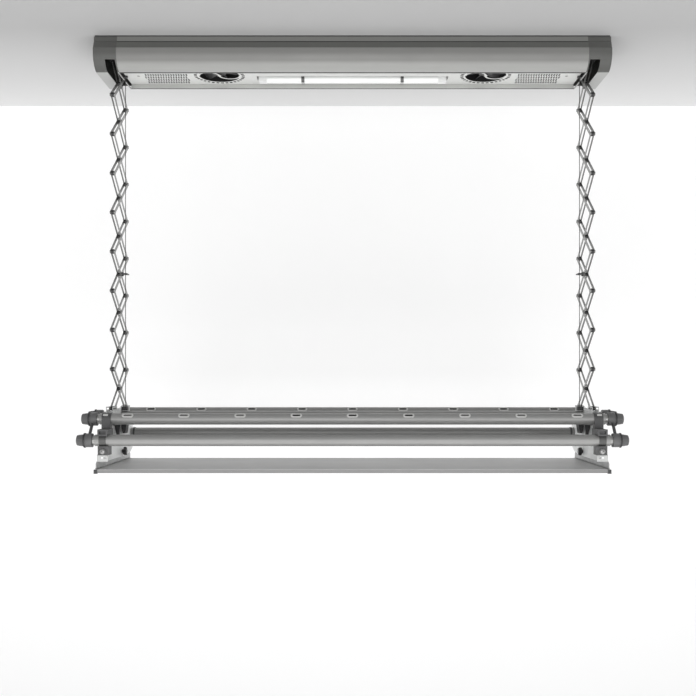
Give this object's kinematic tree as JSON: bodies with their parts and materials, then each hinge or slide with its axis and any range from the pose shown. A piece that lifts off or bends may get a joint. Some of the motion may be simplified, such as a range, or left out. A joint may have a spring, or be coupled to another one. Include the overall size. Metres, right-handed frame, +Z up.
{
  "type": "electric ceiling clothes rack",
  "caption": "Ceiling mounted clothes rack lowered by a motor on ropes, steadied by scissor arms, with telescopic poles, a flat drying tray, a lamp and fans in the housing.",
  "frame": {"origin": "middle of the base plate's top face, which lies against the ceiling", "axes": "+X to the right along the housing and poles, -Y to the front, +Z up"},
  "size_m": [1.378, 0.422, 1.093],
  "materials": {
    "housing_metal": "satin anodised grey",
    "cap_plastic": "fine matt dark grey",
    "panel_plastic": "semi-gloss white",
    "galvanised_steel": "galvanised",
    "dark_steel": "dark grey coated strip",
    "pole_metal": "satin grey anodised tube",
    "plate_paint": "pale grey powder coat",
    "black_plastic": "moulded black",
    "grey_plastic": "moulded dark grey",
    "white_plastic": "moulded white",
    "lamp_glass": "opal tube",
    "zinc": "zinc plated",
    "circuit": "green board with parts",
    "tray_metal": "satin sheet"
  },
  "bodies": {
    "housing": {"ceiling_base_plate": "galvanised_steel", "housing_screws": "zinc", "housing_shell": "housing_metal", "end_cap_left": "cap_plastic", "end_cap_right": "cap_plastic", "bottom_panel": "panel_plastic", "fan_frames": "black_plastic", "lamp_tube": "lamp_glass", "lamp_sockets": "white_plastic", "lamp_clips": "black_plastic", "gearmotor": "galvanised_steel", "shaft_bearings": "white_plastic", "drive_electronics": "circuit", "rope_eyes": "black_plastic", "scissor_hangers": "galvanised_steel", "lift_ropes": "zinc"},
    "drive": {"drive_shaft": "zinc", "rope_drums": "white_plastic"},
    "fan_left": {"fan_rotor_left": "black_plastic"},
    "fan_right": {"fan_rotor_right": "black_plastic"},
    "cell_1_rear": {"scissor_1_rear_link": "dark_steel"},
    "cell_1_front": {"scissor_1_front_link": "dark_steel"},
    "cell_2_rear": {"scissor_2_rear_link": "dark_steel"},
    "cell_2_front": {"scissor_2_front_link": "dark_steel"},
    "cell_3_rear": {"scissor_3_rear_link": "dark_steel"},
    "cell_3_front": {"scissor_3_front_link": "dark_steel"},
    "cell_4_rear": {"scissor_4_rear_link": "dark_steel"},
    "cell_4_front": {"scissor_4_front_link": "dark_steel"},
    "cell_5_rear": {"scissor_5_rear_link": "dark_steel"},
    "cell_5_front": {"scissor_5_front_link": "dark_steel"},
    "cell_6_rear": {"scissor_6_rear_link": "dark_steel"},
    "cell_6_front": {"scissor_6_front_link": "dark_steel"},
    "cell_7_rear": {"scissor_7_rear_link": "dark_steel"},
    "cell_7_front": {"scissor_7_front_link": "dark_steel"},
    "cell_8_rear": {"scissor_8_rear_link": "dark_steel"},
    "cell_8_front": {"scissor_8_front_link": "dark_steel"},
    "cell_9_rear": {"scissor_9_rear_link": "dark_steel"},
    "cell_9_front": {"scissor_9_front_link": "dark_steel"},
    "rope_clips": {"rope_guide_clips": "black_plastic"},
    "rack": {"scissor_feet": "dark_steel", "foot_mouldings": "black_plastic", "rope_anchors": "black_plastic", "side_plates": "plate_paint", "upper_front_pole": "pole_metal", "upper_middle_pole": "pole_metal", "upper_rear_pole": "pole_metal", "lower_front_pole": "pole_metal", "lower_rear_pole": "pole_metal", "hanger_eyelets": "white_plastic", "pole_clamps": "black_plastic", "clamp_straps": "galvanised_steel", "clamp_screws": "zinc", "drying_tray": "tray_metal", "tray_end_plates": "galvanised_steel", "tray_knobs": "black_plastic", "tray_feet": "black_plastic"},
    "extension_right": {"extension_tubes_right": "galvanised_steel", "end_fittings_right": "grey_plastic"},
    "extension_left": {"extension_tubes_left": "galvanised_steel", "end_fittings_left": "grey_plastic"}
  },
  "joints": [
    {"name": "lift", "type": "hinge", "parent": "housing", "child": "cell_1_rear", "pos_m": [0, 0.084, -0.04], "axis": [-1, 0, 0], "range_deg": [0, 28], "deforming": ["lift_ropes"]},
    {"name": "cell_1_crossing", "type": "hinge", "parent": "cell_1_rear", "child": "cell_1_front", "pos_m": [0, 0.01, -0.08989], "axis": [-1, 0, 0], "range_deg": [-56, 0]},
    {"name": "cell_2_front_pivot", "type": "hinge", "parent": "cell_1_rear", "child": "cell_2_front", "pos_m": [0, -0.064, -0.13978], "axis": [-1, 0, 0], "range_deg": [-56, 0]},
    {"name": "cell_2_crossing", "type": "hinge", "parent": "cell_2_front", "child": "cell_2_rear", "pos_m": [0, 0.01, -0.18967], "axis": [-1, 0, 0], "range_deg": [0, 56]},
    {"name": "cell_3_rear_pivot", "type": "hinge", "parent": "cell_2_front", "child": "cell_3_rear", "pos_m": [0, 0.084, -0.23956], "axis": [-1, 0, 0], "range_deg": [0, 56]},
    {"name": "cell_3_crossing", "type": "hinge", "parent": "cell_3_rear", "child": "cell_3_front", "pos_m": [0, 0.01, -0.28944], "axis": [-1, 0, 0], "range_deg": [-56, 0]},
    {"name": "cell_4_front_pivot", "type": "hinge", "parent": "cell_3_rear", "child": "cell_4_front", "pos_m": [0, -0.064, -0.33933], "axis": [-1, 0, 0], "range_deg": [-56, 0]},
    {"name": "cell_4_crossing", "type": "hinge", "parent": "cell_4_front", "child": "cell_4_rear", "pos_m": [0, 0.01, -0.38922], "axis": [-1, 0, 0], "range_deg": [0, 56]},
    {"name": "cell_5_rear_pivot", "type": "hinge", "parent": "cell_4_front", "child": "cell_5_rear", "pos_m": [0, 0.084, -0.43911], "axis": [-1, 0, 0], "range_deg": [0, 56]},
    {"name": "cell_5_crossing", "type": "hinge", "parent": "cell_5_rear", "child": "cell_5_front", "pos_m": [0, 0.01, -0.489], "axis": [-1, 0, 0], "range_deg": [-56, 0]},
    {"name": "cell_6_front_pivot", "type": "hinge", "parent": "cell_5_rear", "child": "cell_6_front", "pos_m": [0, -0.064, -0.53889], "axis": [-1, 0, 0], "range_deg": [-56, 0]},
    {"name": "cell_6_crossing", "type": "hinge", "parent": "cell_6_front", "child": "cell_6_rear", "pos_m": [0, 0.01, -0.58878], "axis": [-1, 0, 0], "range_deg": [0, 56]},
    {"name": "cell_7_rear_pivot", "type": "hinge", "parent": "cell_6_front", "child": "cell_7_rear", "pos_m": [0, 0.084, -0.63867], "axis": [-1, 0, 0], "range_deg": [0, 56]},
    {"name": "cell_7_crossing", "type": "hinge", "parent": "cell_7_rear", "child": "cell_7_front", "pos_m": [0, 0.01, -0.68856], "axis": [-1, 0, 0], "range_deg": [-56, 0]},
    {"name": "cell_8_front_pivot", "type": "hinge", "parent": "cell_7_rear", "child": "cell_8_front", "pos_m": [0, -0.064, -0.73844], "axis": [-1, 0, 0], "range_deg": [-56, 0]},
    {"name": "cell_8_crossing", "type": "hinge", "parent": "cell_8_front", "child": "cell_8_rear", "pos_m": [0, 0.01, -0.78833], "axis": [-1, 0, 0], "range_deg": [0, 56]},
    {"name": "cell_9_rear_pivot", "type": "hinge", "parent": "cell_8_front", "child": "cell_9_rear", "pos_m": [0, 0.084, -0.83822], "axis": [-1, 0, 0], "range_deg": [0, 56]},
    {"name": "cell_9_crossing", "type": "hinge", "parent": "cell_9_rear", "child": "cell_9_front", "pos_m": [0, 0.01, -0.88811], "axis": [-1, 0, 0], "range_deg": [-56, 0]},
    {"name": "rope_clip_level", "type": "hinge", "parent": "cell_6_rear", "child": "rope_clips", "pos_m": [0, 0.01, -0.58878], "axis": [-1, 0, 0], "range_deg": [-28, 0]},
    {"name": "rack_level", "type": "hinge", "parent": "cell_9_front", "child": "rack", "pos_m": [0, 0.084, -0.938], "axis": [-1, 0, 0], "range_deg": [0, 28]},
    {"name": "drum_turn", "type": "hinge", "parent": "housing", "child": "drive", "pos_m": [0, 0.022, -0.03], "axis": [-1, 0, 0], "range_deg": [0, 1904.3]},
    {"name": "fan_right_spin", "type": "hinge", "parent": "housing", "child": "fan_right", "pos_m": [0.347, -0.002, -0.06], "axis": [0, 0, 1], "continuous": true},
    {"name": "extension_right_slide", "type": "slide", "parent": "rack", "child": "extension_right", "axis": [1, 0, 0], "range_m": [0, 0.3]},
    {"name": "fan_left_spin", "type": "hinge", "parent": "housing", "child": "fan_left", "pos_m": [-0.347, -0.002, -0.06], "axis": [0, 0, 1], "continuous": true},
    {"name": "extension_left_slide", "type": "slide", "parent": "rack", "child": "extension_left", "axis": [-1, 0, 0], "range_m": [0, 0.3]}
  ],
  "couplings": [
    {"joint": "cell_1_crossing", "follows": "lift", "ratio": -2},
    {"joint": "cell_2_front_pivot", "follows": "lift", "ratio": -2},
    {"joint": "cell_2_crossing", "follows": "lift", "ratio": 2},
    {"joint": "cell_3_rear_pivot", "follows": "lift", "ratio": 2},
    {"joint": "cell_3_crossing", "follows": "lift", "ratio": -2},
    {"joint": "cell_4_front_pivot", "follows": "lift", "ratio": -2},
    {"joint": "cell_4_crossing", "follows": "lift", "ratio": 2},
    {"joint": "cell_5_rear_pivot", "follows": "lift", "ratio": 2},
    {"joint": "cell_5_crossing", "follows": "lift", "ratio": -2},
    {"joint": "cell_6_front_pivot", "follows": "lift", "ratio": -2},
    {"joint": "cell_6_crossing", "follows": "lift", "ratio": 2},
    {"joint": "cell_7_rear_pivot", "follows": "lift", "ratio": 2},
    {"joint": "cell_7_crossing", "follows": "lift", "ratio": -2},
    {"joint": "cell_8_front_pivot", "follows": "lift", "ratio": -2},
    {"joint": "cell_8_crossing", "follows": "lift", "ratio": 2},
    {"joint": "cell_9_rear_pivot", "follows": "lift", "ratio": 2},
    {"joint": "cell_9_crossing", "follows": "lift", "ratio": -2},
    {"joint": "rope_clip_level", "follows": "lift", "ratio": -1},
    {"joint": "rack_level", "follows": "lift", "ratio": 1},
    {"joint": "drum_turn", "follows": "lift", "ratio": 67.941}
  ]
}
